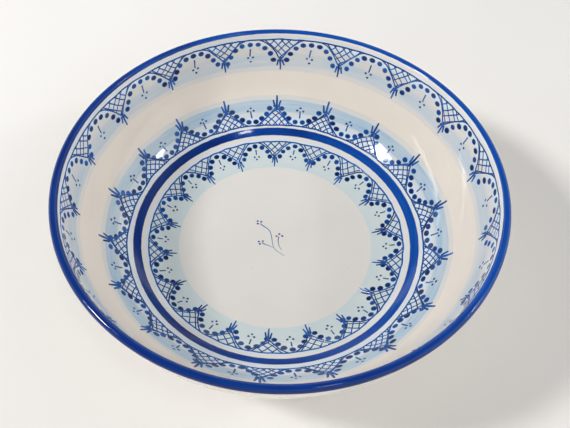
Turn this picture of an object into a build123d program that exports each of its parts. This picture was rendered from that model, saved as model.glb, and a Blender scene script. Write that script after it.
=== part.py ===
from build123d import *
import os

# A large footed serving bowl in tin-glazed earthenware: a thrown clay body, a rolled lip, a luted foot
# ring, and a white glaze coat with a blue ring round the well and a blue lip.
#
# Sizes are in millimetres. Every solid is a revolved section, drawn with X as the radius and Y as the
# height above the table. The origin is the centre of the foot's resting face.

# Driving dimensions: the glazed bowl
bowl_diameter = 360.0          # over the lip
bowl_height = 120.0            # from the table to the top of the lip
lip_thickness = 6.6            # across the rolled lip
wall_thickness = 4.4           # of the wall where it runs into the lip
middle_thickness = 6.7         # of the wall halfway from the well up to the lip
wall_curve_radius = 104.0      # inside curve from the well up to the lip
well_dish_radius = 710.0       # shallow dish of the well's floor
floor_thickness = 7.5          # through the middle of the well
lip_root_fillet = 1.2          # hollow under the lip, outside

# Driving dimensions: the foot ring
foot_diameter = 172.0          # outside, at the table
foot_tread = 7.0               # width at the table, with its rounded edges
foot_recess = 6.0              # from the table up to the glazed underside
foot_flare = 2.2               # by this much each side widens from the table to the body
foot_edge_radius = 1.6         # rounded edges at the table
foot_root_fillet = 3.0         # hollow where the foot meets the body, both sides

# Driving dimensions: the glaze coat
glaze_thickness = 0.5
bare_foot_height = 1.8         # the foot is wiped clean of glaze up to here
ring_diameter = 252.8          # middle of the blue ring round the well
ring_width = 7.0               # measured along the radius
lip_blue_inside = 2.4          # depth of the blue below the lip's top, inside the bowl
lip_blue_outside = 5.2         # depth of the blue below the lip's top, outside the bowl

# The clay surface lies one glaze coat inside the glazed surface.
clay_lip_radius = lip_thickness / 2 - glaze_thickness
clay_wall_radius = wall_curve_radius + glaze_thickness
clay_dish_radius = well_dish_radius + glaze_thickness
clay_floor_thickness = floor_thickness - 2 * glaze_thickness
clay_floor_level = foot_recess + floor_thickness - glaze_thickness

# Cutting shapes run past the section that they cut by this much.
past = 10.0


def lower_crossing(centre_a, radius_a, centre_b, radius_b):
    """Return the crossing of two circles that lies lower, towards the foot."""
    span = centre_b - centre_a
    along = (span.length**2 + radius_a**2 - radius_b**2) / (2 * span.length)
    sideways = span.normalized().rotate(Axis.Z, 90) * (radius_a**2 - along**2) ** 0.5
    middle = centre_a + span.normalized() * along
    return min(middle + sideways, middle - sideways, key=lambda point: point.Y)


# The wall's inside arc is tangent to the well's dish below it and to the lip's roll above it.
lip_centre = Vector(bowl_diameter / 2 - lip_thickness / 2, bowl_height - lip_thickness / 2)
dish_centre = Vector(0, clay_floor_level + clay_dish_radius)
wall_centre = lower_crossing(
    dish_centre, clay_dish_radius - clay_wall_radius, lip_centre, clay_wall_radius + clay_lip_radius
)
well_normal = (wall_centre - dish_centre).normalized()
well_tangent = Vector(-well_normal.Y, well_normal.X)
well_edge = dish_centre + well_normal * clay_dish_radius
lip_touch = wall_centre + (lip_centre - wall_centre).normalized() * clay_wall_radius

# The underside runs parallel to the well's floor as far as the middle of the foot. The outside goes up
# from there to the root of the lip in one arc through the middle of the wall.
foot_outside = foot_diameter / 2
foot_inside = foot_outside - foot_tread
foot_middle = (foot_inside + foot_outside) / 2
under_radius = clay_dish_radius + clay_floor_thickness
heel = Vector(foot_middle, dish_centre.Y - (under_radius**2 - foot_middle**2) ** 0.5)
middle_normal = (well_normal + (lip_touch - wall_centre).normalized()).normalized()
wall_middle = wall_centre + middle_normal * (wall_curve_radius + middle_thickness - glaze_thickness)
wall_root = lip_centre + Vector(wall_thickness - glaze_thickness - lip_thickness / 2, 0)


def rectangle(low_x, low_y, high_x, high_y):
    """Return the rectangle between two corners."""
    middle = Pos((low_x + high_x) / 2, (low_y + high_y) / 2)
    return middle * Rectangle(high_x - low_x, high_y - low_y)


def spin(section):
    """Revolve a section once round the bowl's axis."""
    return revolve(Plane.XZ * section, Axis.Z)


def turned_wall():
    """The thrown clay from the axis to the root of the lip, without the foot."""
    floor_top = Vector(0, clay_floor_level)
    floor_under = floor_top - Vector(0, clay_floor_thickness)
    outline = [
        TangentArc(floor_top, well_edge, tangent=(1, 0)),
        TangentArc(well_edge, lip_touch, tangent=well_tangent),
        Line(lip_touch, lip_centre),
        Line(lip_centre, wall_root),
        ThreePointArc(wall_root, wall_middle, heel),
        TangentArc(floor_under, heel, tangent=(1, 0)),
        Line(floor_under, floor_top),
    ]
    return make_face(Curve() + outline)


def cavity():
    """The space inside the bowl, from the clay's inside surface up past the lip."""
    floor_top = Vector(0, clay_floor_level)
    outline = [
        TangentArc(floor_top, well_edge, tangent=(1, 0)),
        TangentArc(well_edge, lip_touch, tangent=well_tangent),
        Polyline(lip_touch, lip_centre, (lip_centre.X, bowl_height + past), (0, bowl_height + past), floor_top),
    ]
    return make_face(Curve() + outline)


def rolled_lip():
    """The roll of clay along the top of the wall."""
    return Pos(lip_centre) * Circle(clay_lip_radius)


def bowl_body():
    """The thrown body, with a seat for the lip's roll and a hollow smoothed in under it."""
    joined = turned_wall() + rolled_lip()
    lip_root = wall_root - Vector(0, clay_lip_radius)
    corner = joined.vertices().sort_by_distance(lip_root)[0]
    return fillet(corner, lip_root_fillet) - rolled_lip()


def foot_ring():
    """The tapered foot, luted to the body's underside and smoothed into it on both sides."""
    body = turned_wall()
    spread = foot_flare / (foot_recess + glaze_thickness) * bowl_height
    blank = Polyline(
        (foot_inside, 0),
        (foot_outside, 0),
        (foot_outside + spread, bowl_height),
        (foot_inside - spread, bowl_height),
        close=True,
    )
    ring = make_face(blank) - body - cavity()
    corners = ring.vertices().sort_by(Axis.X)
    joined = body + ring
    roots = [joined.vertices().sort_by_distance(corner)[0] for corner in (corners[0], corners[-1])]
    joined = fillet(roots, foot_root_fillet)
    edges = [joined.vertices().sort_by_distance((side, 0))[0] for side in (foot_inside, foot_outside)]
    return fillet(edges, foot_edge_radius) - body


def glaze_coat():
    """The skin of glaze over the whole bowl, wiped off the foot where it stands."""
    clay = bowl_body() + rolled_lip() + foot_ring()
    dipped = offset(clay, glaze_thickness) - clay
    return dipped & rectangle(0, bare_foot_height, bowl_diameter, bowl_height + past)


def lip_zone():
    """The zone of blue over the lip."""
    inside = rectangle(0, bowl_height - lip_blue_inside, lip_centre.X, bowl_height + past)
    outside = rectangle(lip_centre.X, bowl_height - lip_blue_outside, bowl_diameter, bowl_height + past)
    return inside + outside


def inside_zone(from_radius, to_radius):
    """The glaze inside the bowl between two radii, short of the blue lip."""
    band = rectangle(from_radius, 0, to_radius, bowl_height + past)
    return (coat & cavity() & band) - lip_zone()


def outside_zone(from_radius, to_radius):
    """The glaze outside the bowl between two radii, short of the blue lip."""
    band = rectangle(from_radius, 0, to_radius, bowl_height + past)
    return (coat & band) - cavity() - lip_zone()


coat = glaze_coat()
ring_inside = ring_diameter / 2 - ring_width / 2
ring_outside = ring_diameter / 2 + ring_width / 2

sections = {
    "bowl_body": bowl_body(),
    "rolled_lip": rolled_lip(),
    "foot_ring": foot_ring(),
    "well_glaze": inside_zone(0, ring_inside),
    "well_ring_blue": inside_zone(ring_inside, ring_outside),
    "wall_glaze": inside_zone(ring_outside, bowl_diameter / 2),
    "lip_blue": coat & lip_zone(),
    "outside_glaze": outside_zone(foot_middle, bowl_diameter / 2),
    "underside_glaze": outside_zone(0, foot_middle),
}

os.makedirs("parts", exist_ok=True)
for name, section in sections.items():
    piece = spin(section)
    export_step(piece, f"parts/{name}.step")
    print(f"{name}: {piece.volume / 1000:.1f} cm3")
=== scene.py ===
from math import asin, atan2, cos, pi, radians, sin

import bmesh
import bpy
import numpy as np
from mathutils import Matrix, Vector


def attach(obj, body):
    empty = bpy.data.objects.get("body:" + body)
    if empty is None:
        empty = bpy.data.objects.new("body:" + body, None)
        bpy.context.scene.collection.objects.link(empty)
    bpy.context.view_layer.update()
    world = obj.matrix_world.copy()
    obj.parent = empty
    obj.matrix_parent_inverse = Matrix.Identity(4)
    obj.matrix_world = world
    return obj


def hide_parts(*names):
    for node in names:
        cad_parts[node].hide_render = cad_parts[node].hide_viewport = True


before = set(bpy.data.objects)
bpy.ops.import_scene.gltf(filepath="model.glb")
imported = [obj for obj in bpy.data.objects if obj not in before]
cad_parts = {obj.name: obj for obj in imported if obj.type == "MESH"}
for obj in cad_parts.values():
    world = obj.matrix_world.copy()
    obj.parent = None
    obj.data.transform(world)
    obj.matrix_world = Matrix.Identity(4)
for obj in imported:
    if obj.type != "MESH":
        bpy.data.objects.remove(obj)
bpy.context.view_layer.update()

# ---------------------------------------------------------------------------------------------------
# The clay. The body is thrown in buff earthenware, its lip is rolled over, and the foot ring is luted
# on. Glaze covers all of it but the foot's wiped edge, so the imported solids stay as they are.

CLAY_BUFF = "#c79f7b"
CLAY_DARK = "#a97d5c"
GRAIN_SIZE = 0.0006            # of the sandy grain that a wiped edge shows


def linear(hex_colour):
    """Turn an sRGB hex colour into the linear values that a socket takes."""
    parts = [int(hex_colour[at : at + 2], 16) / 255 for at in (1, 3, 5)]
    return [p / 12.92 if p <= 0.04045 else ((p + 0.055) / 1.055) ** 2.4 for p in parts] + [1.0]


def add(tree, kind, *inputs, out=0, named=None, **settings):
    """Add a node. Its inputs are sockets to link from or plain values, and None leaves one alone."""
    node = tree.nodes.new(kind)
    for setting, value in settings.items():
        setattr(node, setting, value)
    for key, value in [*enumerate(inputs), *(named or {}).items()]:
        if isinstance(value, bpy.types.NodeSocket):
            tree.links.new(value, node.inputs[key])
        elif value is not None:
            node.inputs[key].default_value = value
    return node.outputs[out] if node.outputs else None


def mix(tree, share, first, second):
    """Blend two colours. Each is a socket or an sRGB hex colour."""
    ends = [linear(end) if isinstance(end, str) else end for end in (first, second)]
    return add(tree, "ShaderNodeMix", share, out=2, data_type="RGBA", named={6: ends[0], 7: ends[1]})


def noise(tree, place, scale=1.0, detail=2.0):
    """Add a noise texture with about this many patches to a unit of its place."""
    return add(tree, "ShaderNodeTexNoise", named={"Vector": place, "Scale": scale, "Detail": detail})


def bump(tree, height, strength, distance):
    """Turn a height pattern into a relief this deep."""
    relief = {"Strength": strength, "Distance": distance, "Height": height}
    return add(tree, "ShaderNodeBump", named=relief)


def start_material(name):
    """Make an empty node material, and return it with its tree."""
    material = bpy.data.materials.new(name)
    material.use_nodes = True
    material.node_tree.nodes.clear()
    return material, material.node_tree


def finish_material(tree, colour, roughness, relief=None, ior=1.5):
    """Give a material its surface: a colour, a roughness, and any relief."""
    surface = {"Base Color": colour, "Roughness": roughness, "IOR": ior, "Normal": relief}
    add(tree, "ShaderNodeOutputMaterial", add(tree, "ShaderNodeBsdfPrincipled", named=surface))


# Biscuit-fired clay: dry and open, mottled by the fire, with a fine sandy tooth.
fired_clay, tree = start_material("biscuit_earthenware")
place = add(tree, "ShaderNodeTexCoord", out=3)
mottle = noise(tree, place, 60.0, 5.0)
grain = noise(tree, place, 1 / GRAIN_SIZE)
colour = mix(tree, mottle, CLAY_DARK, CLAY_BUFF)
finish_material(tree, colour, 0.86, bump(tree, grain, 0.5, 0.0002))

for name in ("bowl_body", "rolled_lip", "foot_ring"):
    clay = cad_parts[name]
    clay.data.materials.clear()
    clay.data.materials.append(fired_clay)

# ---------------------------------------------------------------------------------------------------
# The white tin glaze. It is one coat poured over the whole bowl, glossy and slightly wavy, and painted
# creamy where it lies on the wall, for the warm light bounced between the walls. Pale blue washes were
# banded on with a wide brush while the bowl turned.

DISH_RADIUS = 0.710            # shallow dish of the well
DISH_CENTRE = Vector((0, 0.7235))
WALL_RADIUS = 0.104            # inside curve from the well to the lip
LIP_RADIUS = 0.0033            # the rolled lip, glaze included
LIP_CENTRE = Vector((0.1767, 0.1167))
GLAZE = 0.0005                 # thickness of the coat
BAND_INNER, BAND_OUTER = 0.1229, 0.1299      # radii of the cobalt band's edges
LIP_BLUE_IN, LIP_BLUE_OUT = 0.1176, 0.1148   # heights where the blue lip ends, inside and outside
LIP_RUN = 0.0024               # the lip's blue may run this far down on the wall

# The wall's arc touches the dish from inside and the lip's roll from outside.
span = LIP_CENTRE - DISH_CENTRE
to_dish, to_lip = DISH_RADIUS - WALL_RADIUS, WALL_RADIUS + LIP_RADIUS
along = (span.length_squared + to_dish**2 - to_lip**2) / (2 * span.length)
across = (to_dish**2 - along**2) ** 0.5
ahead = span.normalized()
WALL_CENTRE = DISH_CENTRE + ahead * along + Vector((ahead.y, -ahead.x)) * across
well_slope = asin((WALL_CENTRE - DISH_CENTRE).normalized().x)
well_end = DISH_RADIUS * well_slope
reach = LIP_CENTRE - WALL_CENTRE
wall_end = well_end + WALL_RADIUS * (atan2(reach.x, -reach.y) - well_slope)


def inside(arc, depth=0.0):
    """Radius and height of the bowl's inside at an arc length from its middle, this deep in the glaze."""
    if arc <= well_end:
        slope = arc / DISH_RADIUS
        return (DISH_RADIUS + depth) * sin(slope), DISH_CENTRE.y - (DISH_RADIUS + depth) * cos(slope)
    if arc <= wall_end:
        slope = well_slope + (arc - well_end) / WALL_RADIUS
        out = WALL_RADIUS + depth
        return WALL_CENTRE.x + out * sin(slope), WALL_CENTRE.y - out * cos(slope)
    start = atan2(-reach.y, -reach.x)
    turn = start - (arc - wall_end) / LIP_RADIUS
    out = LIP_RADIUS - depth
    return LIP_CENTRE.x + out * cos(turn), LIP_CENTRE.y + out * sin(turn)


def arc_at_radius(radius):
    """Arc length along the inside, on the wall, at a radius from the bowl's axis."""
    return well_end + WALL_RADIUS * (asin((radius - WALL_CENTRE.x) / WALL_RADIUS) - well_slope)


def arc_at_lip(height, outside):
    """Arc length round the lip's roll at a height, on its inner or its outer side."""
    rise = asin((height - LIP_CENTRE.y) / LIP_RADIUS)
    start = atan2(-reach.y, -reach.x)
    return wall_end + LIP_RADIUS * ((start - rise) if outside else (start % (2 * pi) - pi + rise))


band_from, band_to = arc_at_radius(BAND_INNER), arc_at_radius(BAND_OUTER)
lip_from, lip_to = arc_at_lip(LIP_BLUE_IN, False), arc_at_lip(LIP_BLUE_OUT, True)


def turned_coat(name, arc_from, arc_to, steps, turns=360):
    """Turn the glaze between two arc lengths once round the axis into a closed skin. Its points keep
    their arc length in the attribute arc, which the painted zones read."""
    arcs = list(np.linspace(arc_from, arc_to, steps + 1))
    outline = [(*inside(arc), arc) for arc in arcs]
    outline += [(*inside(arc, GLAZE), arc) for arc in reversed(arcs)]
    points, lengths, rings = [], [], []
    for radius, height, arc in outline:
        count = 1 if radius < 1e-7 else turns        # on the axis a ring shrinks to one point
        rings.append([len(points) + at for at in range(count)])
        for at in range(count):
            angle = 2 * pi * at / turns
            points.append((radius * cos(angle), radius * sin(angle), height))
            lengths.append(arc)
    faces = []
    for low, high in zip(rings, rings[1:] + rings[:1]):
        for at in range(turns):
            after = (at + 1) % turns
            corners = [(low, at), (low, after), (high, after), (high, at)]
            face = list(dict.fromkeys(ring[step % len(ring)] for ring, step in corners))
            if len(face) > 2:
                faces.append(face)
    mesh = bpy.data.meshes.new(name)
    mesh.from_pydata(points, [], faces)
    mesh.attributes.new("arc", "FLOAT", "POINT").data.foreach_set("value", lengths)
    return finish_skin(name, mesh)


def finish_skin(name, mesh):
    """Turn a closed skin's faces outwards, smooth it up to its cut edges, and put it in the scene."""
    work = bmesh.new()
    work.from_mesh(mesh)
    bmesh.ops.remove_doubles(work, verts=work.verts, dist=1e-6)
    bmesh.ops.recalc_face_normals(work, faces=work.faces)
    work.to_mesh(mesh)
    work.free()
    mesh.shade_smooth()
    mesh.set_sharp_from_angle(angle=radians(35))
    piece = bpy.data.objects.new(name, mesh)
    bpy.context.scene.collection.objects.link(piece)
    return piece


# Tin glaze over buff clay: an opaque milky white with a wet gloss. The wide brush leaves soft streaks
# along the turning, overlaps between strokes, and a second, paler edge where the wash ran thin.
GLAZE_WHITE = "#e9e6e0"        # in the well
GLAZE_WARM_BOUNCE = "#ebe1d4"        # on the wall: painted warm bounce light
WASH_BLUE = "#8abadb"
WASH_WELL = "#d3e1e3"          # of the innermost wash
BLOOM = "#dbecfb"              # cobalt bleeds a little into the glaze round painted work
IRON = "#7d7468"               # of a few specks that come through
STREAK_LENGTH = 0.060          # of a brush streak along the turning
STREAK_WIDTH = 0.0016          # of the streaks left by the wide brush's hairs
WELL_WASH = 0.0900             # arc length at which the innermost wash starts
LINE_RIM, LINE_WAIST, LINE_WELL = 0.2235, 0.1388, 0.1192      # arc lengths of the three painted lines
WAVES_A_METRE = 110.0          # the coat's gentle waves are about 9 mm long
WAVE_DEPTH = 0.0004
GLOSS = 0.07                   # roughness of the coat where it is wettest


def calc(tree, operation, *values, **settings):
    """Add a Math node."""
    return add(tree, "ShaderNodeMath", *values, operation=operation, **settings)


def calc_vector(tree, operation, *values, **settings):
    """Add a Vector Math node."""
    return add(tree, "ShaderNodeVectorMath", *values, operation=operation, **settings)


def ramp(tree, value, start, end, at_start, at_end):
    """Add a Map Range node that eases from one level to the other."""
    return add(
        tree, "ShaderNodeMapRange", value, start, end, at_start, at_end, interpolation_type="SMOOTHSTEP"
    )


def brush_space(tree, place, arc, length, width, mean_radius=0.14):
    """Coordinates that run round the bowl and across the brush, in streak lengths and streak widths."""
    flat = calc_vector(tree, "MULTIPLY", place, (1.0, 1.0, 0.0))
    round_ = calc_vector(tree, "NORMALIZE", flat)
    far = calc_vector(tree, "SCALE", round_, named={"Scale": mean_radius / length})
    rows = calc(tree, "MULTIPLY", arc, 1 / width)
    up = add(tree, "ShaderNodeCombineXYZ", 0.0, 0.0, rows)
    return calc_vector(tree, "ADD", far, up)


def waves(tree, place):
    """The coat's gentle waves."""
    return bump(tree, noise(tree, place, WAVES_A_METRE), 0.35, WAVE_DEPTH)


def specked(tree, place, ground):
    """Let a few iron specks, under half a millimetre across, come through the tin white."""
    cells = add(tree, "ShaderNodeTexVoronoi", named={"Vector": place, "Scale": 62.0})
    specks = add(tree, "ShaderNodeMapRange", cells, 0.016, 0.026, 0.55, 0.0)
    return mix(tree, specks, ground, IRON)


white_glaze, tree = start_material("white_tin_glaze")
place = add(tree, "ShaderNodeTexCoord", out=3)
arc = add(tree, "ShaderNodeAttribute", attribute_name="arc", out=2)
hairs = noise(tree, brush_space(tree, place, arc, STREAK_LENGTH, STREAK_WIDTH), detail=3.0)
patches = noise(tree, brush_space(tree, place, arc, 0.035, 0.007))
# The washes' edges wander by up to a millimetre.
ragged = noise(tree, brush_space(tree, place, arc, 0.022, 0.05))
shift = calc(tree, "MULTIPLY_ADD", ragged, 0.0022, -0.0011)
brushed = calc(tree, "ADD", arc, shift)

# Each wash: where it starts, is full, is still full, and ends, with its strength.
washes = [
    (LINE_RIM - 0.0325, LINE_RIM - 0.0313, LINE_RIM - 0.0060, LINE_RIM - 0.0010, 0.20),
    (LINE_RIM - 0.0280, LINE_RIM - 0.0266, LINE_RIM - 0.0180, LINE_RIM - 0.0110, 0.24),
    (LINE_WAIST + 0.0010, LINE_WAIST + 0.0080, LINE_WAIST + 0.0276, LINE_WAIST + 0.0291, 0.20),
    (LINE_WAIST + 0.0104, LINE_WAIST + 0.0122, LINE_WAIST + 0.0228, LINE_WAIST + 0.0242, 0.46),
]
wash = None
for begin, blue_depth, fade, end, strength in washes:
    rise = ramp(tree, brushed, begin, blue_depth, 0.0, strength)
    fall = ramp(tree, brushed, fade, end, 1.0, 0.0)
    band = calc(tree, "MULTIPLY", rise, fall)
    wash = band if wash is None else calc(tree, "ADD", wash, band)
# The brush leaves more colour along some hairs and in some patches.
load = add(tree, "ShaderNodeMapRange", hairs, 0.25, 0.75, 0.72, 1.2)
pooled = add(tree, "ShaderNodeMapRange", patches, 0.3, 0.7, 0.75, 1.2)
load = calc(tree, "MULTIPLY", load, pooled)
wash = calc(tree, "MULTIPLY", wash, load, use_clamp=True)

well_rise = ramp(tree, brushed, WELL_WASH, WELL_WASH + 0.0012, 0.0, 0.9)
well_fall = ramp(tree, arc, LINE_WELL - 0.0005, LINE_WELL, 1.0, 0.0)
well_edge = ramp(tree, brushed, WELL_WASH + 0.0015, WELL_WASH + 0.0060, 1.25, 1.0)
well_wash = calc(tree, "MULTIPLY", well_rise, well_fall)
well_wash = calc(tree, "MULTIPLY", well_wash, well_edge)
well_wash = calc(tree, "MULTIPLY", well_wash, load, use_clamp=True)

# The ground under them is painted creamy up the wall for the warm light bounced between the walls, is a
# little cloudy, and blooms round the painted lace.
warm_bounce_on_wall = ramp(tree, arc, 0.130, 0.175, 0.0, 1.0)
ground = mix(tree, warm_bounce_on_wall, GLAZE_WHITE, GLAZE_WARM_BOUNCE)
clouds = noise(tree, place, 14.0, 3.0)
cloudy = add(tree, "ShaderNodeMapRange", clouds, 0.3, 0.7, 0.97, 1.02)
ground = calc_vector(tree, "SCALE", ground, named={"Scale": cloudy})
for line, towards_lace in ((LINE_RIM, -0.0012), (LINE_WAIST, 0.0026), (LINE_WELL, -0.0032)):
    away = calc(tree, "SUBTRACT", arc, line + towards_lace)
    away = calc(tree, "ABSOLUTE", away)
    bloom = ramp(tree, away, 0.0036, 0.0085, 0.7, 0.0)
    ground = mix(tree, bloom, ground, BLOOM)
tinted = mix(tree, wash, ground, WASH_BLUE)
tinted = mix(tree, well_wash, tinted, WASH_WELL)
tinted = specked(tree, place, tinted)
finish_material(tree, tinted, GLOSS, waves(tree, place))

well_coat = turned_coat("glaze_of_well", 0.0, band_from, 84)
wall_coat = turned_coat("glaze_of_wall", band_to, lip_from - LIP_RUN, 72)
for piece, node in ((well_coat, "well_glaze"), (wall_coat, "wall_glaze")):
    piece.data.materials.append(white_glaze)
    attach(piece, "root")
    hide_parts(node)

# Outside, the coat was poured and left plain. It shows the thrower's faint rings through its gloss.
RING_SPACING = 0.0055          # between two throwing rings
RINGS_A_METRE = 0.31415 / RING_SPACING       # the wave texture's own measure, pi / 10 to a band

poured_glaze, tree = start_material("poured_tin_glaze")
place = add(tree, "ShaderNodeTexCoord", out=3)
clouds = noise(tree, place, 11.0, 4.0)
ground = mix(tree, clouds, "#e3dbcf", "#ebe6dd")
rings = add(
    tree,
    "ShaderNodeTexWave",
    bands_direction="Z",
    named={
        "Vector": place, "Scale": RINGS_A_METRE, "Distortion": 1.6, "Detail": 2.0, "Detail Scale": 0.6,
    },
)
uneven = calc(tree, "ADD", rings, noise(tree, place, 90.0))
finish_material(tree, specked(tree, place, ground), 0.08, bump(tree, uneven, 0.4, 0.0003))

for name, node in (("glaze_of_outside", "outside_glaze"), ("glaze_of_underside", "underside_glaze")):
    piece = finish_skin(name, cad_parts[node].data.copy())
    piece.data.materials.clear()
    piece.data.materials.append(poured_glaze)
    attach(piece, "root")
    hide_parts(node)

# ---------------------------------------------------------------------------------------------------
# The cobalt band round the well and the blue lip. Both were painted on the raw glaze with a loaded brush
# as the bowl turned, and melted into it in the fire, so they are flush and share its gloss.

COBALT = "#0448a6"
COBALT_DEEP = "#022b78"
COBALT_THIN = "#1262b8"
# Pooled cobalt, also used as painted shade on the lip's lower outer side.
COBALT_POOL_AND_SHADE = "#03174a"
COBALT_IOR = 1.42              # the blue's gloss is a little weaker than the white's
BAND_FULL_SIDE = radians(175)  # the loaded brush touched down on this side of the band
# The lip's blue is deepest on this side: a fuller brush, and painted shade on the lip's shaded side.
LIP_FULL_AND_SHADED_SIDE = radians(210)
LIP_OFF_CENTRE = 0.0015        # the lip's blue reaches further in on that side by this much


def cobalt_material(
    name, arc_low, arc_high, ragged_edge, deep_side, off_centre=(0.0, 0.0), pooled_and_shaded_from=None
):
    """Cobalt laid on between two arc lengths with a brush, as the bowl turns: hair streaks run along
    the turning, the colour pools darker in patches, most on the side where the brush was fullest, which
    on the lip also stands for painted shade, and the white shows at its ragged edge. The bowl may have
    stood off the wheel's centre, by an amount towards an angle, and past an arc length the colour is
    darkened, partly as pooled paint and partly as painted shade."""
    material, tree = start_material(name)
    place = add(tree, "ShaderNodeTexCoord", out=3)
    arc = add(tree, "ShaderNodeAttribute", attribute_name="arc", out=2)
    streaks = brush_space(tree, place, arc, 0.045, 0.0013)
    hairs = noise(tree, streaks, detail=3.0)
    pools = brush_space(tree, place, arc, 0.040, 0.010)
    patches = noise(tree, pools)

    # The colour is deep towards one side, where the brush was full and, on the lip, also as painted
    # shade, and thin along some hairs where it was spent.
    flat = calc_vector(tree, "MULTIPLY", place, (1.0, 1.0, 0.0))
    flat = calc_vector(tree, "NORMALIZE", flat)
    facing = (cos(deep_side), sin(deep_side), 0.0)
    blue_depth = calc_vector(tree, "DOT_PRODUCT", flat, facing, out=1)
    blue_depth = calc(tree, "MULTIPLY_ADD", patches, 2.4, blue_depth)
    deep = add(tree, "ShaderNodeMapRange", blue_depth, 0.5, 1.9, 0.0, 1.0)
    spent = add(tree, "ShaderNodeMapRange", blue_depth, 0.2, 1.4, 0.85, 0.25)
    thin = add(tree, "ShaderNodeMapRange", hairs, 0.45, 0.75, 0.0, 1.0)
    thin = calc(tree, "MULTIPLY", thin, spent)
    blue = mix(tree, deep, COBALT, COBALT_DEEP)
    blue = mix(tree, thin, blue, COBALT_THIN)
    # Past the crest the colour darkens, as paint that pooled there and as painted shade on the lip's
    # underside.
    if pooled_and_shaded_from:
        uneven = calc(tree, "MULTIPLY_ADD", hairs, 0.0030, arc)
        pool_and_shade_start, pool_and_shade_end = pooled_and_shaded_from + 0.0015, arc_high + 0.0005
        pool_and_shade = add(tree, "ShaderNodeMapRange", uneven, pool_and_shade_start, pool_and_shade_end, 0.0, 0.75)
        blue = mix(tree, pool_and_shade, blue, COBALT_POOL_AND_SHADE)

    # The edge wobbles, and past it the white glaze is bare.
    wander = brush_space(tree, place, 0.0, 0.006, 1.0)
    wobble = noise(tree, wander, detail=3.0)
    middle, half = (arc_low + arc_high) / 2, (arc_high - arc_low) / 2
    amount, towards = off_centre
    nearer = (cos(towards), sin(towards), 0.0)
    nearer = calc_vector(tree, "DOT_PRODUCT", flat, nearer, out=1)
    off = calc(tree, "MULTIPLY_ADD", nearer, amount, arc)
    off = calc(tree, "SUBTRACT", off, middle)
    off = calc(tree, "ABSOLUTE", off)
    edge = calc(tree, "MULTIPLY_ADD", wobble, ragged_edge * 2, half - ragged_edge * 1.3)
    past = calc(tree, "SUBTRACT", off, edge)
    bare = ramp(tree, past, -0.0003, 0.0002, 0.0, 1.0)
    colour = mix(tree, bare, blue, GLAZE_WHITE)
    finish_material(tree, colour, GLOSS, waves(tree, place), COBALT_IOR)
    return material


band = turned_coat("cobalt_band", band_from, band_to, 6)
band_paint = cobalt_material("cobalt_band_glaze", band_from, band_to, 0.0004, BAND_FULL_SIDE)
band.data.materials.append(band_paint)

# Inside, the lip's blue ends unevenly a little below its zone. Outside, it is full to the zone's end, and
# it has run down and pooled past the lip's crest, where it is also darkened as painted shade on the lip's
# lower outer side. It is deepest on the left front, partly a fuller brush and partly painted shade.
crest = arc_at_lip(LIP_CENTRE.y + LIP_RADIUS * 0.999, False)
lip = turned_coat("blue_lip", lip_from - LIP_RUN, lip_to, 22)
lip_paint = cobalt_material(
    "cobalt_lip_glaze",
    lip_from - 0.0004,
    lip_to + 0.0020,
    0.0003,
    LIP_FULL_AND_SHADED_SIDE,
    off_centre=(LIP_OFF_CENTRE, LIP_FULL_AND_SHADED_SIDE),
    pooled_and_shaded_from=crest,
)
lip.data.materials.append(lip_paint)
for piece, node in ((band, "well_ring_blue"), (lip, "lip_blue")):
    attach(piece, "root")
    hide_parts(node)

# ---------------------------------------------------------------------------------------------------
# The lace borders. Each has a line banded on the wheel, and eighteen cross-hatched points of lace hung
# from it with a fine brush, with dots along their arches and a sprig in each opening.

POINTS_OF_LACE = 18
PAINT_LINE = 0.00076           # half the width of a brush line
PAINT_RELIEF = 0.00005         # the strokes stand this proud, so that they clear the glaze's facets

# Cobalt drawn with a fine brush: nearly navy where the stroke is full, and thinner and lighter at its
# edges. A brush with little paint left draws a thin grey-blue.
brushwork, tree = start_material("cobalt_brushwork")
place = add(tree, "ShaderNodeTexCoord", out=3)
side = add(tree, "ShaderNodeAttribute", attribute_name="across", out=2)
load = add(tree, "ShaderNodeAttribute", attribute_name="load", out=2)
dry = add(tree, "ShaderNodeAttribute", attribute_name="dry", out=2)
side = calc(tree, "ABSOLUTE", side)
rim = ramp(tree, side, 0.6, 1.0, 0.0, 0.25)
flow = noise(tree, place, 420.0)
blue_depth = calc(tree, "MULTIPLY_ADD", flow, 0.6, load)
blue_depth = add(tree, "ShaderNodeMapRange", blue_depth, 0.35, 1.25, 0.0, 1.0)
blue = mix(tree, blue_depth, "#0a5cb0", "#021f5e")
blue = mix(tree, rim, blue, "#6fa6de")
blue = mix(tree, dry, blue, "#8ea4b8")
finish_material(tree, blue, 0.08)


def brush_curves(name, strokes, smooth=False):
    """Put flat brush strokes into one curve object. A stroke is its points and their half widths."""
    curves = bpy.data.curves.new(name, "CURVE")
    curves.dimensions = "3D"
    for points, widths in strokes:
        spline = curves.splines.new("NURBS" if smooth else "POLY")
        spline.points.add(len(points) - 1)
        for point, (x, y), width in zip(spline.points, points, widths):
            point.co = (x, y, 0.0, 1.0)
            point.radius = width
        if smooth:
            spline.order_u, spline.use_endpoint_u, spline.resolution_u = 3, True, 8
    piece = bpy.data.objects.new(name, curves)
    bpy.context.scene.collection.objects.link(piece)
    return piece


def dot_points(name, dots):
    """Put dots into one mesh of loose points. A dot is its place, its half width and its dryness."""
    mesh = bpy.data.meshes.new(name)
    mesh.from_pydata([(x, y, 0.0) for x, y, *_ in dots], [], [])
    mesh.attributes.new("size", "FLOAT", "POINT").data.foreach_set("value", [dot[2] for dot in dots])
    mesh.attributes.new("dry", "FLOAT", "POINT").data.foreach_set("value", [dot[3] for dot in dots])
    piece = bpy.data.objects.new(name, mesh)
    bpy.context.scene.collection.objects.link(piece)
    return piece


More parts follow.
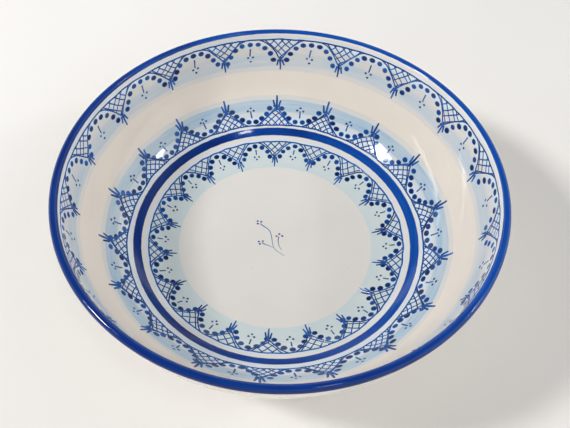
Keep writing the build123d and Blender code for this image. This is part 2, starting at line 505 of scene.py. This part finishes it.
def stroke(ends, bow=0.0, width=PAINT_LINE, tip=0.55, step=0.0025):
    """A stroke from end to end that bows sideways and thins to its tip."""
    first, last = Vector(ends[0]), Vector(ends[1])
    line = last - first
    sideways = Vector((-line.y, line.x)).normalized()
    count = max(3, round(line.length / step) + 1)
    shares = [at / (count - 1) for at in range(count)]
    points = [first + line * share + sideways * bow * 4 * share * (1 - share) for share in shares]
    return points, [width * (1 - (1 - tip) * share**2) for share in shares]


def point_of_lace(middle, height, feet, arch_power, cell, slope, tip, dot_places, sprig):
    """The strokes and dots of one point of lace, drawn up from its line, and of the opening after it.
    The arch on each side springs from the line at its foot, climbs to the apex, and just crosses the
    other."""

    def arch(x):
        foot = feet[x > 0]
        return 0.0004 + height * (max(0.0, foot - abs(x)) / foot) ** arch_power

    hand = np.random.default_rng(4)
    strokes, dots = [], []
    for side, near, far in ((-1, *feet[::-1]), (1, *feet)):
        xs = np.linspace(far, -0.0012, 14)
        ys = [arch(side * x) if x >= 0 else height - x * 1.6 for x in xs]
        strokes.append((list(zip(side * xs, ys)), [PAINT_LINE * 0.88] * 14))
        # The hatching runs up from the line, beside the near arch, and stops at the far one.
        for start in np.arange(-near + cell * 0.5, far, cell):
            start += hand.uniform(-0.1, 0.1) * cell
            along = np.arange(-near, far, 0.0003)
            under = [x for x in along if 0 <= (x - start) * slope <= arch(side * x)]
            if under and under[-1] - under[0] > 0.003:
                ends = [(side * x, (x - start) * slope) for x in (under[0], under[-1])]
                strokes.append(stroke(ends, side * 0.0005, PAINT_LINE * 0.76, 0.85))
        # Three short, full strokes leave the apex like the ends of threads.
        spike = [(side * 0.0019, height - 0.0002), (side * 0.0036, height + tip * 0.6)]
        strokes.append(stroke(spike, side * 0.0002, PAINT_LINE * 1.25, 0.75))
    strokes.append(stroke([(0.0, height - 0.0030), (0.0002, height + tip)], 0.0, PAINT_LINE * 1.4, 0.65))
    for x, y in dot_places:
        for side in (-1, 1) if x else (1,):
            dots.append((middle + side * x, y, 0.0028, 0.0))
    stem, pair, single = sprig
    strokes.append(stroke([(middle, stem[0]), (middle + 0.0004, stem[1])], 0.0, PAINT_LINE * 0.90, 0.9))
    dots += [(middle + x, pair, 0.0012, 0.1) for x in (-0.0027, 0.0029)]
    dots.append((middle + 0.0002, single, 0.0012, 0.1))
    return strokes, dots


def chance(tree, low, high, seed):
    """Add a random number between two values, drawn anew for each element."""
    return add(
        tree, "FunctionNodeRandomValue", out=1, data_type="FLOAT", named={2: low, 3: high, "Seed": seed}
    )


def store(tree, geometry, domain, name, value):
    """Keep a value on each element of a geometry, as a named attribute."""
    kept = {"Name": name, "Value": value}
    return add(tree, "GeometryNodeStoreNamedAttribute", geometry, domain=domain, named=kept)


def give_body(tree, strokes, dots, seed, relief):
    """Nodes that turn flat strokes and loose dots into closed ribbons and dabs. They keep what the paint
    needs: how far across the stroke a point lies, how loaded its brush was, and how dry it had run."""
    load = chance(tree, 0.0, 0.8, seed)
    strokes = store(tree, strokes, "CURVE", "load", load)
    thickness = add(tree, "GeometryNodeInputRadius")
    dry = add(tree, "ShaderNodeMapRange", thickness, PAINT_LINE * 0.62, PAINT_LINE * 0.35, 0.0, 0.8)
    strokes = store(tree, strokes, "POINT", "dry", dry)
    strokes = add(tree, "GeometryNodeSetCurveNormal", strokes, mode="Z_UP")
    # The brush draws a wide flat section, most of which lies in the glaze.
    brush = add(tree, "GeometryNodeCurvePrimitiveQuadrilateral", 2.0, 0.35)
    brush = add(tree, "GeometryNodeTransform", brush, named={"Translation": (0.0, 0.065, 0.0)})
    across = add(tree, "ShaderNodeSeparateXYZ", add(tree, "GeometryNodeInputPosition"))
    brush = store(tree, brush, "POINT", "across", across)
    ribbons = add(tree, "GeometryNodeCurveToMesh", strokes, brush, thickness, True)

    # A dot is a round dab, pressed a little larger, smaller or longer each time.
    dab = add(tree, "GeometryNodeMeshCylinder", 12, 2, 2, 1.0, 0.35)
    dab = add(tree, "GeometryNodeTransform", dab, named={"Translation": (0.0, 0.0, -0.065)})
    across = add(tree, "GeometryNodeInputPosition")
    across = calc_vector(tree, "MULTIPLY", across, (1.0, 1.0, 0.0))
    across = calc_vector(tree, "LENGTH", across, out=1)
    dab = store(tree, dab, "POINT", "across", across)
    size = add(tree, "GeometryNodeInputNamedAttribute", "size", data_type="FLOAT")
    sides = []
    for step, (least, most) in enumerate(((0.93, 1.12), (0.80, 0.96))):
        own = calc(tree, "ADD", seed, float(step))
        vary = chance(tree, least, most, own)
        sides.append(calc(tree, "MULTIPLY", size, vary))
    thick = calc(tree, "MULTIPLY", relief, 9.1)      # this leaves the dab's top proud by the relief
    dab_size = add(tree, "ShaderNodeCombineXYZ", *sides, thick)
    turned = add(
        tree, "FunctionNodeRandomValue", named={0: (0.0, 0.0, -0.7), 1: (0.0, 0.0, 0.7), "Seed": seed}
    )
    set_down = {"Instance": dab, "Rotation": turned, "Scale": dab_size}
    dabs = add(tree, "GeometryNodeInstanceOnPoints", dots, named=set_down)
    load = chance(tree, 0.3, 1.1, seed)
    dabs = store(tree, dabs, "INSTANCE", "load", load)
    dabs = add(tree, "GeometryNodeRealizeInstances", dabs)
    flat = add(tree, "GeometryNodeJoinGeometry", dabs)
    tree.links.new(ribbons, flat.node.inputs[0])
    return flat


def lace_tree():
    """Geometry Nodes that repeat one point of lace along its line, let the hand wander a little, give the
    strokes body, and bend the flat border onto the wall. Flat x runs round, y up the wall, z off it."""
    tree = bpy.data.node_groups.new("Lace border", "GeometryNodeTree")
    face = tree.interface
    face.new_socket("Geometry", in_out="OUTPUT", socket_type="NodeSocketGeometry")
    sizes = {"Strokes": "Object", "Dots": "Object", "Paint": "Material", "Repeats": "Int", "Seed": "Int"}
    for name in (
        "Line arc", "Line radius", "Direction", "First angle", "Uneven spacing", "Widest at",
        "Off centre", "Off centre at", "Wander", "Line half width", "Relief", "Wall radius",
        "Wall centre radius", "Wall centre height", "Wall start arc", "Wall start slope",
    ):
        sizes[name] = "Float"
    for name, kind in sizes.items():
        face.new_socket(name, in_out="INPUT", socket_type="NodeSocket" + kind)
    given = tree.nodes.new("NodeGroupInput").outputs

    # Where each point of lace hangs: even steps round the bowl, with the painter's slow drift and haste.
    index = add(tree, "GeometryNodeInputIndex")
    turn = calc(tree, "DIVIDE", 2 * pi, given["Repeats"])
    even = calc(tree, "MULTIPLY", index, turn)
    phase = calc(tree, "SUBTRACT", even, given["Widest at"])
    drift = calc(tree, "COSINE", phase)
    drift = calc(tree, "MULTIPLY_ADD", drift, given["Uneven spacing"], given["First angle"])
    haste = chance(tree, -0.012, 0.012, given["Seed"])
    angle = calc(tree, "ADD", even, drift)
    angle = calc(tree, "ADD", angle, haste)
    along = calc(tree, "MULTIPLY", angle, given["Line radius"])
    hang = add(tree, "ShaderNodeCombineXYZ", along, given["Line arc"], 0.0)
    places = add(tree, "GeometryNodePoints", given["Repeats"], hang)
    tall = chance(tree, 0.94, 1.06, given["Seed"])
    tall = calc(tree, "MULTIPLY", tall, given["Direction"])
    stretch = add(tree, "ShaderNodeCombineXYZ", 1.0, tall, 1.0)
    copies = []
    for source in ("Strokes", "Dots"):
        drawn = add(tree, "GeometryNodeObjectInfo", given[source], out=4)
        hung = {"Instance": drawn, "Scale": stretch}
        hung = add(tree, "GeometryNodeInstanceOnPoints", places, named=hung)
        copies.append(add(tree, "GeometryNodeRealizeInstances", hung))
    strokes, dots = copies

    # The banded line itself, once round the bowl.
    whole = calc(tree, "MULTIPLY", given["Line radius"], 2 * pi)
    line = add(
        tree, "GeometryNodeCurvePrimitiveLine",
        add(tree, "ShaderNodeCombineXYZ", 0.0, given["Line arc"], 0.0),
        add(tree, "ShaderNodeCombineXYZ", whole, given["Line arc"], 0.0),
    )
    line = add(tree, "GeometryNodeResampleCurve", line, named={"Count": 30 * POINTS_OF_LACE})
    line = add(tree, "GeometryNodeSetCurveRadius", line, named={"Radius": given["Line half width"]})
    strokes = add(tree, "GeometryNodeJoinGeometry", strokes)
    tree.links.new(line, strokes.node.inputs[0])

    # The hand wanders: a smooth offset that closes on itself round the bowl. And the bowl stood a little
    # off the wheel's centre, so that each line runs nearer to the lip on one side.
    spot = add(tree, "ShaderNodeSeparateXYZ", add(tree, "GeometryNodeInputPosition"))
    theta = calc(tree, "DIVIDE", spot, given["Line radius"])
    ring_x = calc(tree, "MULTIPLY", calc(tree, "COSINE", theta), given["Line radius"])
    ring_y = calc(tree, "MULTIPLY", calc(tree, "SINE", theta), given["Line radius"])
    ring = add(tree, "ShaderNodeCombineXYZ", ring_x, ring_y, spot.node.outputs[1])
    shake = add(
        tree, "ShaderNodeTexNoise", out=1, noise_dimensions="4D",
        named={"Vector": ring, "W": given["Seed"], "Scale": 75.0, "Detail": 1.0},
    )
    shake = calc_vector(tree, "SUBTRACT", shake, (0.5, 0.5, 0.5))
    shake = calc_vector(tree, "MULTIPLY", shake, (1.0, 1.0, 0.0))
    shake = calc_vector(tree, "SCALE", shake, named={"Scale": given["Wander"]})
    sway = calc(tree, "SUBTRACT", theta, given["Off centre at"])
    sway = calc(tree, "COSINE", sway)
    sway = calc(tree, "MULTIPLY", sway, given["Off centre"])
    sway = add(tree, "ShaderNodeCombineXYZ", 0.0, sway, 0.0)
    shake = calc_vector(tree, "ADD", shake, sway)
    strokes = add(tree, "GeometryNodeSetPosition", strokes, named={"Offset": shake})
    dots = add(tree, "GeometryNodeSetPosition", dots, named={"Offset": shake})

    flat = give_body(tree, strokes, dots, given["Seed"], given["Relief"])

    # Bend: the angle round comes from x, the slope of the wall from y, and z goes towards its centre.
    spot = add(tree, "ShaderNodeSeparateXYZ", add(tree, "GeometryNodeInputPosition")).node.outputs
    theta = calc(tree, "DIVIDE", spot[0], given["Line radius"])
    climb = calc(tree, "SUBTRACT", spot[1], given["Wall start arc"])
    climb = calc(tree, "DIVIDE", climb, given["Wall radius"])
    slope = calc(tree, "ADD", climb, given["Wall start slope"])
    arm = calc(tree, "SUBTRACT", given["Wall radius"], spot[2])
    level = calc(tree, "SINE", slope)
    radius = calc(tree, "MULTIPLY_ADD", level, arm, given["Wall centre radius"])
    drop = calc(tree, "MULTIPLY", calc(tree, "COSINE", slope), arm)
    height = calc(tree, "SUBTRACT", given["Wall centre height"], drop)
    east = calc(tree, "MULTIPLY", calc(tree, "COSINE", theta), radius)
    north = calc(tree, "MULTIPLY", calc(tree, "SINE", theta), radius)
    bent = add(tree, "ShaderNodeCombineXYZ", east, north, height)
    bent = add(tree, "GeometryNodeSetPosition", flat, named={"Position": bent})
    bent = add(tree, "GeometryNodeFlipFaces", bent)
    bent = add(tree, "GeometryNodeRealizeInstances", bent)
    bent = add(tree, "GeometryNodeSetMaterial", bent, named={"Material": given["Paint"]})
    add(tree, "NodeGroupOutput", bent)
    return tree


def paint_with(tree, name, **sizes):
    """Run a tree with these inputs on an empty mesh. Only the plain mesh that it makes is kept."""
    holder = bpy.data.objects.new(name, bpy.data.meshes.new(name))
    bpy.context.scene.collection.objects.link(holder)
    modifier = holder.modifiers.new("paint", "NODES")
    modifier.node_group = tree
    sockets = {item.name: item.identifier for item in tree.interface.items_tree}
    for size, value in sizes.items():
        modifier[sockets[size.replace("_", " ")]] = value
    graph = bpy.context.evaluated_depsgraph_get()
    made = bpy.data.meshes.new_from_object(holder.evaluated_get(graph))
    holder.modifiers.remove(modifier)
    holder.data = made
    for drawing in (sizes["Strokes"], sizes["Dots"]):
        bpy.data.objects.remove(drawing)
    return holder


lace = lace_tree()
# Each border's point of lace, and how it is set round the bowl.
borders = {
    "lace_below_rim": (
        dict(
            middle=0.0305, height=0.0200, feet=(0.0220, 0.0208), arch_power=1.50,
            cell=0.0078, slope=0.92, tip=0.0096, sprig=((0.0088, 0.0163), 0.0178, 0.0217),
            dot_places=[
                (0, 0.0043), (0.0079, 0.0049), (0.0147, 0.0086), (0.0200, 0.0142), (0.0236, 0.0202),
            ],
        ),
        dict(
            Line_arc=LINE_RIM, Direction=-1.0, Seed=3,
            First_angle=radians(3.9), Uneven_spacing=radians(1.66),
            Widest_at=radians(76), Off_centre=0.0010, Off_centre_at=radians(10),
        ),
    ),
    "lace_above_band": (
        dict(
            middle=0.0246, height=0.0176, feet=(0.0185, 0.0210), arch_power=1.45,
            cell=0.0068, slope=0.90, tip=0.0120, sprig=((0.0078, 0.0150), 0.0152, 0.0178),
            dot_places=[(0.0036, 0.0040), (0.0101, 0.0067), (0.0150, 0.0108), (0.0180, 0.0163)],
        ),
        dict(
            Line_arc=LINE_WAIST, Direction=1.0, Seed=5,
            First_angle=radians(5.2), Uneven_spacing=radians(2.3),
            Widest_at=radians(124), Off_centre=0.0019, Off_centre_at=radians(250),
        ),
    ),
    "lace_in_well": (
        dict(
            middle=0.0212, height=0.0170, feet=(0.0172, 0.0172), arch_power=1.35,
            cell=0.0080, slope=0.95, tip=0.0105, sprig=((0.0075, 0.0130), 0.0157, 0.0183),
            dot_places=[(0, 0.0036), (0.0071, 0.0062), (0.0124, 0.0108), (0.0155, 0.0162)],
        ),
        dict(
            Line_arc=LINE_WELL, Direction=-1.0, Seed=8,
            First_angle=radians(5.9), Uneven_spacing=radians(2.9),
            Widest_at=radians(138), Off_centre=0.0004, Off_centre_at=0.0,
        ),
    ),
}
for name, (point, setting) in borders.items():
    strokes, dots = point_of_lace(**point)
    drawn, dabbed = brush_curves("strokes", strokes), dot_points("dots", dots)
    border = paint_with(
        lace,
        name,
        Strokes=drawn,
        Dots=dabbed,
        Paint=brushwork,
        Repeats=POINTS_OF_LACE,
        Line_radius=inside(setting["Line_arc"])[0],
        Wander=0.0028,
        Line_half_width=0.00075,
        Relief=PAINT_RELIEF,
        Wall_radius=WALL_RADIUS,
        Wall_centre_radius=WALL_CENTRE.x,
        Wall_centre_height=WALL_CENTRE.y,
        Wall_start_arc=well_end,
        Wall_start_slope=well_slope,
        **setting,
    )
    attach(border, "root")

# ---------------------------------------------------------------------------------------------------
# The sprig in the middle of the well: three fine stems, each with a head of three small buds. It was
# drawn freehand with the same brush and cobalt, and the stems run dry towards their lower ends.

STEM_LINE = 0.00050            # half the width of a stem where it starts
BUD = 0.00105                  # half the width of a bud

# The points that the stems run through and where the buds sit, in millimetres from the well's middle.
stems = [
    [
        (-12.8, 23.6), (-9.5, 20.2), (-4.2, 16.4), (-2.4, 9.5), (-2.0, 2.0), (-1.2, -4.4), (3.0, -9.6),
        (8.8, -13.8),
    ],
    [(-11.8, 1.4), (-8.4, -0.8), (-4.6, -2.0), (-1.6, -4.4)],
    [(4.6, 8.0), (3.6, 4.6), (3.8, 0.0), (4.6, -3.8), (6.4, -7.2)],
]
buds = [
    (-15.2, 26.5), (-15.2, 23.5), (-11.8, 25.7), (-14.8, 2.9), (-13.9, 0.2), (-10.9, 3.2), (2.4, 8.7),
    (5.2, 11.0), (7.9, 8.6),
]


def sprig_tree():
    """Geometry Nodes that give flat strokes and dots body and lay them in the well's shallow dish."""
    tree = bpy.data.node_groups.new("Sprig", "GeometryNodeTree")
    tree.interface.new_socket("Geometry", in_out="OUTPUT", socket_type="NodeSocketGeometry")
    sizes = {
        "Strokes": "Object", "Dots": "Object", "Paint": "Material", "Seed": "Int", "Relief": "Float",
        "Dish radius": "Float", "Dish height": "Float",
    }
    for name, kind in sizes.items():
        tree.interface.new_socket(name, in_out="INPUT", socket_type="NodeSocket" + kind)
    given = tree.nodes.new("NodeGroupInput").outputs
    strokes = add(tree, "GeometryNodeObjectInfo", given["Strokes"], out=4)
    dots = add(tree, "GeometryNodeObjectInfo", given["Dots"], out=4)
    flat = give_body(tree, strokes, dots, given["Seed"], given["Relief"])
    spot = add(tree, "GeometryNodeInputPosition")
    out = calc_vector(tree, "MULTIPLY", spot, (1.0, 1.0, 0.0))
    out = calc_vector(tree, "LENGTH", out, out=1)
    slope = calc(tree, "DIVIDE", out, given["Dish radius"])
    slope = calc(tree, "ARCSINE", slope)
    drop = calc(tree, "COSINE", slope)
    drop = calc(tree, "MULTIPLY", drop, given["Dish radius"])
    level = calc(tree, "SUBTRACT", given["Dish height"], drop)
    laid = add(tree, "ShaderNodeCombineXYZ", 0.0, 0.0, level)
    laid = add(tree, "GeometryNodeSetPosition", flat, named={"Offset": laid})
    laid = add(tree, "GeometryNodeRealizeInstances", laid)
    add(
        tree,
        "NodeGroupOutput",
        add(tree, "GeometryNodeSetMaterial", laid, named={"Material": given["Paint"]}),
    )
    return tree


strokes = []
for stem in stems:
    thinning = np.linspace(1.0, 0.5, len(stem))
    strokes.append(([(x / 1000, y / 1000) for x, y in stem], [STEM_LINE * share for share in thinning]))
drawn = brush_curves("stems", strokes, smooth=True)
dabbed = dot_points("buds", [(x / 1000, y / 1000, BUD, 0.0) for x, y in buds])
sprig = paint_with(
    sprig_tree(),
    "sprig_in_well",
    Strokes=drawn,
    Dots=dabbed,
    Paint=brushwork,
    Seed=2,
    Relief=PAINT_RELIEF,
    Dish_radius=DISH_RADIUS,
    Dish_height=DISH_CENTRE.y,
)
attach(sprig, "root")

# ---------------------------------------------------------------------------------------------------
# The studio: a plain pale table top in a bright room, a window from the left with a long low one behind
# it, two small lamps that light up in the glaze as the window does, three soft fills, and the camera.

TABLE_REACH = 6                # from the bowl to the table's edges

floor_mesh = bpy.data.meshes.new("table_top")
corners = [(x * TABLE_REACH, y * TABLE_REACH, 0) for x, y in ((-1, -1), (1, -1), (1, 1), (-1, 1))]
floor_mesh.from_pydata(corners, [], [(0, 1, 2, 3)])
floor = bpy.data.objects.new("table_top", floor_mesh)
bpy.context.scene.collection.objects.link(floor)

# Matt white paint on board: flat and even, with a faint mottle.
table_paint, tree = start_material("matt_white_paint")
place = add(tree, "ShaderNodeTexCoord", out=3)
mottle = noise(tree, place, 3.0, 3.0)
colour = mix(tree, mottle, "#eeece9", "#f3f2f0")
add(tree, "ShaderNodeOutputMaterial", add(tree, "ShaderNodeBsdfDiffuse", colour, 0.6))
floor.data.materials.append(table_paint)

world = bpy.data.worlds.new("room")
bpy.context.scene.world = world
world.use_nodes = True
tree = world.node_tree
tree.nodes.clear()
# The room, from the table's level up: an even pale strip, a low wall that the window lights from the
# right round to the back, an upper wall that is lit to the right of the bowl's front, and a dim ceiling.
ways = add(tree, "ShaderNodeSeparateXYZ", add(tree, "ShaderNodeTexCoord")).node.outputs
back_right = calc(tree, "ADD", ways[0], ways[1])
front_right = calc(tree, "SUBTRACT", ways[0], ways[1])
low_wall = ramp(tree, back_right, -0.6, 0.2, 0.45, 1.50)
high_wall = ramp(tree, front_right, 0.1, 0.9, 0.22, 1.05)
level = ramp(tree, ways[2], 0.10, 0.20, 0.75, low_wall)
level = ramp(tree, ways[2], 0.35, 0.45, level, high_wall)
level = ramp(tree, ways[2], 0.65, 0.85, level, 0.17)
climb = add(tree, "ShaderNodeMapRange", ways[2], 0.2, 0.6)
light = mix(tree, climb, "#fcf9f4", "#f4f9ff")
add(tree, "ShaderNodeOutputWorld", add(tree, "ShaderNodeBackground", light, level))

AIM = Vector((0, 0, 0.05))     # the lamps face this spot in the bowl


def soft_lamp(name, azimuth, elevation, distance, size, power, tall=None, colour="#ffffff"):
    """Hang a lamp in a direction from the bowl, facing it. It is square, or as tall as given."""
    lamp = bpy.data.lights.new(name, "AREA")
    lamp.shape = "RECTANGLE"
    lamp.size, lamp.size_y, lamp.energy, lamp.color = size, tall or size, power, linear(colour)[:3]
    piece = bpy.data.objects.new(name, lamp)
    bpy.context.scene.collection.objects.link(piece)
    away = Vector((cos(azimuth) * cos(elevation), sin(azimuth) * cos(elevation), sin(elevation)))
    piece.location = AIM + away * distance
    piece.rotation_euler = away.to_track_quat("Z", "Y").to_euler()
    return piece


soft_lamp("window", radians(-174.5), radians(44.5), 1.9, 0.28, 19.0, colour="#fffdfb")
soft_lamp("low_window", radians(155), radians(16), 2.0, 2.2, 2.6, tall=0.10, colour="#e4f0ff")
soft_lamp("lamp_right", radians(-5), radians(37), 2.0, 0.21, 2.6, tall=0.09)
soft_lamp("lamp_ceiling", radians(-57), radians(67.3), 2.0, 0.16, 1.6, tall=0.11)
# Three broad fills stand for the light that the room throws back. They are kept out of reflections.
for fill in (
    soft_lamp("fill_above", radians(-15), radians(50), 2.6, 2.4, 9.5, colour="#fff2e2"),
    soft_lamp("fill_back", radians(85), radians(32), 2.6, 2.4, 11.0),
    soft_lamp("fill_low", radians(-135), radians(20), 2.4, 2.0, 7.0, tall=1.2),
):
    fill.visible_glossy = False

# The camera looks down into the bowl from the front. Its picture is cropped a little off the lens axis.
PICTURE_WIDTH, PICTURE_HEIGHT = 570, 428     # pixels
FOCAL_LENGTH = 560                           # pixels
AXIS_X, AXIS_Y = 250.3, 247.92               # pixels from the left and the top to the lens axis
EYE = (-0.0231, -0.2921, 0.4600)
look_down, tilt = radians(57.17), radians(-1.397)
right = Vector((1, 0, 0))
forward = Vector((0, cos(look_down), -sin(look_down)))
up = Vector((0, sin(look_down), cos(look_down)))
image_x = right * cos(tilt) + up * sin(tilt)
image_y = up * cos(tilt) - right * sin(tilt)
camera = bpy.data.objects.new("camera", bpy.data.cameras.new("camera"))
bpy.context.scene.collection.objects.link(camera)
bpy.context.scene.camera = camera
facing = Matrix((image_x, image_y, -forward)).transposed().to_4x4()
camera.matrix_world = Matrix.Translation(EYE) @ facing
camera.data.lens = FOCAL_LENGTH * camera.data.sensor_width / PICTURE_WIDTH
camera.data.shift_x = (PICTURE_WIDTH / 2 - AXIS_X) / PICTURE_WIDTH
camera.data.shift_y = (AXIS_Y - PICTURE_HEIGHT / 2) / PICTURE_WIDTH
camera.data.clip_start = 0.01
bpy.context.scene.view_settings.view_transform = "Standard"
